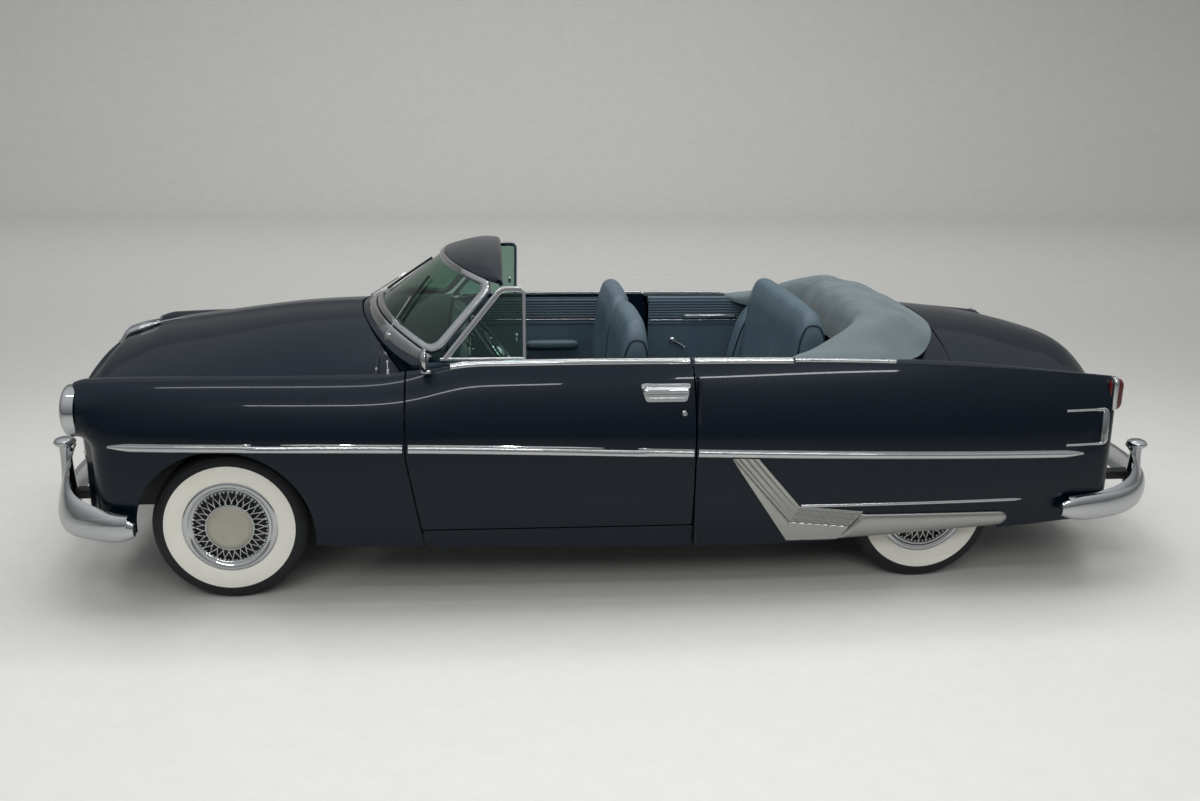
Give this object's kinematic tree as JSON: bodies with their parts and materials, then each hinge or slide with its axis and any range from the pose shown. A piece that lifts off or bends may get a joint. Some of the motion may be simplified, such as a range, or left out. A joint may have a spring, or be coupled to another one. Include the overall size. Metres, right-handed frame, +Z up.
{
  "type": "four-seat two-door convertible car of the 1950s",
  "caption": "Low two-door convertible with smooth slab sides, curved windscreen, folded top under a boot, wire-style wheel covers and skirted rear wheels.",
  "frame": {"origin": "on the ground, at the middle of the car's length and width", "axes": "+Z up, -X towards the nose, -Y towards the driver's side, which is the car's left"},
  "size_m": [5.306, 1.9908, 1.484],
  "materials": {
    "body_paint": "deep gloss metallic enamel",
    "bright_metal": "mirror polished",
    "satin_steel": "satin",
    "trim_leather": "grained",
    "seat_leather": "grained",
    "boot_fabric": "coated cloth",
    "screen_glass": "tinted",
    "lamp_glass": "clear",
    "tail_glass": "moulded",
    "cast_metal": "rough",
    "chassis_steel": "satin black",
    "pipe_steel": "dull",
    "column_paint": "gloss",
    "wheel_plastic": "moulded",
    "tyre_rubber": "matt"
  },
  "bodies": {
    "body": {"cowl": "body_paint", "dashboard": "body_paint", "engine": "cast_metal", "exhaust": "pipe_steel", "floor_pan": "chassis_steel", "front_bumper": "bright_metal", "front_seat": "seat_leather", "front_suspension": "chassis_steel", "front_wings": "body_paint", "fuel_tank": "chassis_steel", "grille": "bright_metal", "headlamp_lenses": "lamp_glass", "headlamp_rims": "bright_metal", "nose_panel": "body_paint", "radiator": "chassis_steel", "rear_axle": "cast_metal", "rear_body": "body_paint", "rear_bumper": "bright_metal", "rear_seat": "seat_leather", "rear_side_trims": "trim_leather", "rear_skirts": "satin_steel", "seat_runners": "chassis_steel", "side_brightwork": "bright_metal", "sills": "body_paint", "steering_column": "column_paint", "stone_shields": "satin_steel", "tail_lamps": "tail_glass", "tail_rails": "chassis_steel", "top_boot": "boot_fabric", "underframe": "chassis_steel", "windscreen_frame": "bright_metal", "windscreen_glass": "screen_glass", "windscreen_header": "body_paint"},
    "door_left_body": {"door_left": "body_paint", "door_card_left": "trim_leather", "door_brightwork_left": "bright_metal", "quarter_light_left": "screen_glass"},
    "door_right_body": {"door_right": "body_paint", "door_card_right": "trim_leather", "door_brightwork_right": "bright_metal", "quarter_light_right": "screen_glass"},
    "bonnet_body": {"bonnet": "body_paint"},
    "deck_lid_body": {"deck_lid": "body_paint"},
    "knuckle_left_body": {"knuckle_left": "cast_metal"},
    "knuckle_right_body": {"knuckle_right": "cast_metal"},
    "steering_wheel_body": {"steering_wheel": "wheel_plastic"},
    "wheel_fl_body": {"tyre_fl": "tyre_rubber", "wheel_fl": "bright_metal"},
    "wheel_fr_body": {"tyre_fr": "tyre_rubber", "wheel_fr": "bright_metal"},
    "wheel_rl_body": {"tyre_rl": "tyre_rubber", "wheel_rl": "bright_metal"},
    "wheel_rr_body": {"tyre_rr": "tyre_rubber", "wheel_rr": "bright_metal"}
  },
  "joints": [
    {"name": "door_left_hinge", "type": "hinge", "parent": "body", "child": "door_left_body", "pos_m": [-1.012, -0.975, 0.68], "axis": [0, 0, -1], "range_deg": [0, 65]},
    {"name": "door_right_hinge", "type": "hinge", "parent": "body", "child": "door_right_body", "pos_m": [-1.012, 0.975, 0.68], "axis": [0, 0, 1], "range_deg": [0, 65]},
    {"name": "bonnet_hinge", "type": "hinge", "parent": "body", "child": "bonnet_body", "pos_m": [-2.443, 0, 0.884], "axis": [0, -1, 0], "range_deg": [0, 48]},
    {"name": "deck_lid_hinge", "type": "hinge", "parent": "body", "child": "deck_lid_body", "pos_m": [1.267, 0, 1.096], "axis": [0, -1, 0], "range_deg": [0, 60]},
    {"name": "steer_left", "type": "hinge", "parent": "body", "child": "knuckle_left_body", "pos_m": [-1.795, -0.64, 0.34], "axis": [0, 0, 1], "range_deg": [-30, 30]},
    {"name": "steer_right", "type": "hinge", "parent": "body", "child": "knuckle_right_body", "pos_m": [-1.795, 0.64, 0.34], "axis": [0, 0, 1], "range_deg": [-30, 30]},
    {"name": "steering_wheel_turn", "type": "hinge", "parent": "body", "child": "steering_wheel_body", "pos_m": [-0.603, -0.35, 1], "axis": [0.788, 0, 0.6157], "range_deg": [-540, 540]},
    {"name": "wheel_fl_spin", "type": "hinge", "parent": "knuckle_left_body", "child": "wheel_fl_body", "pos_m": [-1.795, -0.743, 0.34], "axis": [0, 1, 0], "continuous": true},
    {"name": "wheel_fr_spin", "type": "hinge", "parent": "knuckle_right_body", "child": "wheel_fr_body", "pos_m": [-1.795, 0.743, 0.34], "axis": [0, 1, 0], "continuous": true},
    {"name": "wheel_rl_spin", "type": "hinge", "parent": "body", "child": "wheel_rl_body", "pos_m": [1.355, -0.705, 0.34], "axis": [0, 1, 0], "continuous": true},
    {"name": "wheel_rr_spin", "type": "hinge", "parent": "body", "child": "wheel_rr_body", "pos_m": [1.355, 0.705, 0.34], "axis": [0, 1, 0], "continuous": true}
  ],
  "couplings": [
    {"joint": "steer_right", "follows": "steer_left", "ratio": 1},
    {"joint": "steering_wheel_turn", "follows": "steer_left", "ratio": 18}
  ]
}
